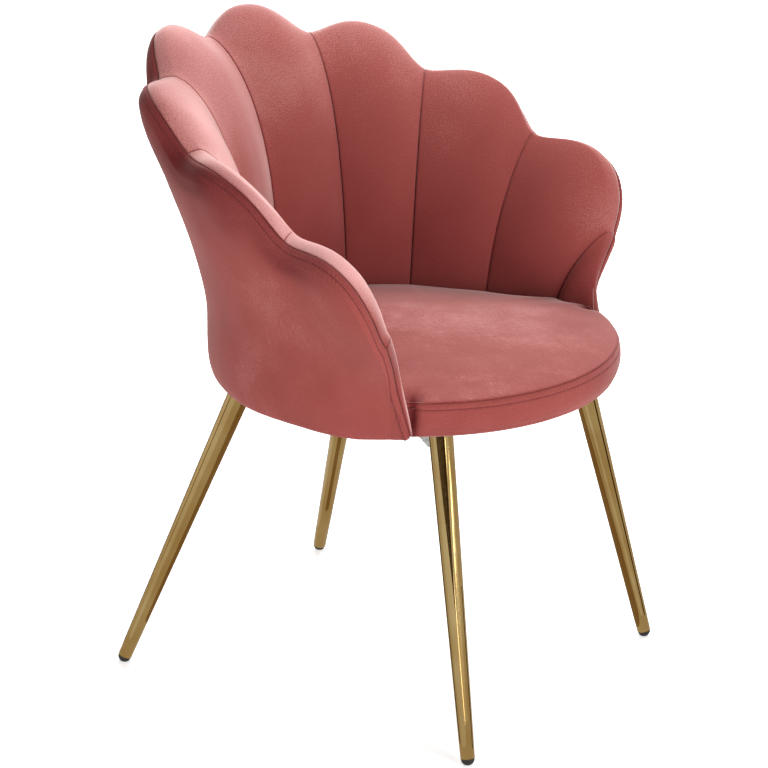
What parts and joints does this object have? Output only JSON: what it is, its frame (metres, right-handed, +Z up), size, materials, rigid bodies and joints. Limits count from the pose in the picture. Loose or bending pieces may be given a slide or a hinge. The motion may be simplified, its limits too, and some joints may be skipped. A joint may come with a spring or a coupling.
{
  "type": "scallop back chair",
  "caption": "Upholstered tub chair with a scalloped, channelled wrap-around back, a round seat and splayed tapered metal legs.",
  "frame": {"origin": "middle of the bounding box at floor level, under the seat", "axes": "+Z up from the floor to the top of the back, -Y out of the front of the seat, +X to the right with 0 at the middle of the chair, looking along +Y"},
  "size_m": [0.673, 0.6347, 0.8575],
  "materials": {
    "velvet_outer": "short-pile velvet",
    "velvet_channels": "short-pile velvet",
    "velvet_seat": "short-pile velvet",
    "foam": "open-cell foam",
    "plywood": "raw plywood",
    "dust_cloth": "non-woven black cloth",
    "leg_metal": "polished plated tube",
    "plate_steel": "zinc plated",
    "fastener_steel": "zinc plated",
    "black_plastic": "moulded, satin"
  },
  "bodies": {
    "root": {"seat_board": "plywood", "dust_cover": "dust_cloth", "back_shell_board": "plywood", "outer_back_cover": "velvet_outer", "back_channel_left_1": "velvet_channels", "back_channel_left_2": "velvet_channels", "back_channel_left_3": "velvet_channels", "back_channel_left_4": "velvet_channels", "back_channel_left_5": "velvet_channels", "back_channel_right_1": "velvet_channels", "back_channel_right_2": "velvet_channels", "back_channel_right_3": "velvet_channels", "back_channel_right_4": "velvet_channels", "back_channel_right_5": "velvet_channels", "seat_foam": "foam", "seat_top_panel": "velvet_seat", "seat_front_band": "velvet_seat", "leg_front_left": "leg_metal", "leg_front_right": "leg_metal", "leg_rear_left": "leg_metal", "leg_rear_right": "leg_metal", "leg_plate_front_left": "plate_steel", "leg_plate_front_right": "plate_steel", "leg_plate_rear_left": "plate_steel", "leg_plate_rear_right": "plate_steel", "glide_front_left": "black_plastic", "glide_front_right": "black_plastic", "glide_rear_left": "black_plastic", "glide_rear_right": "black_plastic", "plate_bolt_front_left_1": "fastener_steel", "plate_bolt_front_left_2": "fastener_steel", "plate_bolt_front_left_3": "fastener_steel", "plate_bolt_front_right_1": "fastener_steel", "plate_bolt_front_right_2": "fastener_steel", "plate_bolt_front_right_3": "fastener_steel", "plate_bolt_rear_left_1": "fastener_steel", "plate_bolt_rear_left_2": "fastener_steel", "plate_bolt_rear_left_3": "fastener_steel", "plate_bolt_rear_right_1": "fastener_steel", "plate_bolt_rear_right_2": "fastener_steel", "plate_bolt_rear_right_3": "fastener_steel", "tee_nut_front_left_1": "fastener_steel", "tee_nut_front_left_2": "fastener_steel", "tee_nut_front_left_3": "fastener_steel", "tee_nut_front_right_1": "fastener_steel", "tee_nut_front_right_2": "fastener_steel", "tee_nut_front_right_3": "fastener_steel", "tee_nut_rear_left_1": "fastener_steel", "tee_nut_rear_left_2": "fastener_steel", "tee_nut_rear_left_3": "fastener_steel", "tee_nut_rear_right_1": "fastener_steel", "tee_nut_rear_right_2": "fastener_steel", "tee_nut_rear_right_3": "fastener_steel"}
  },
  "joints": []
}
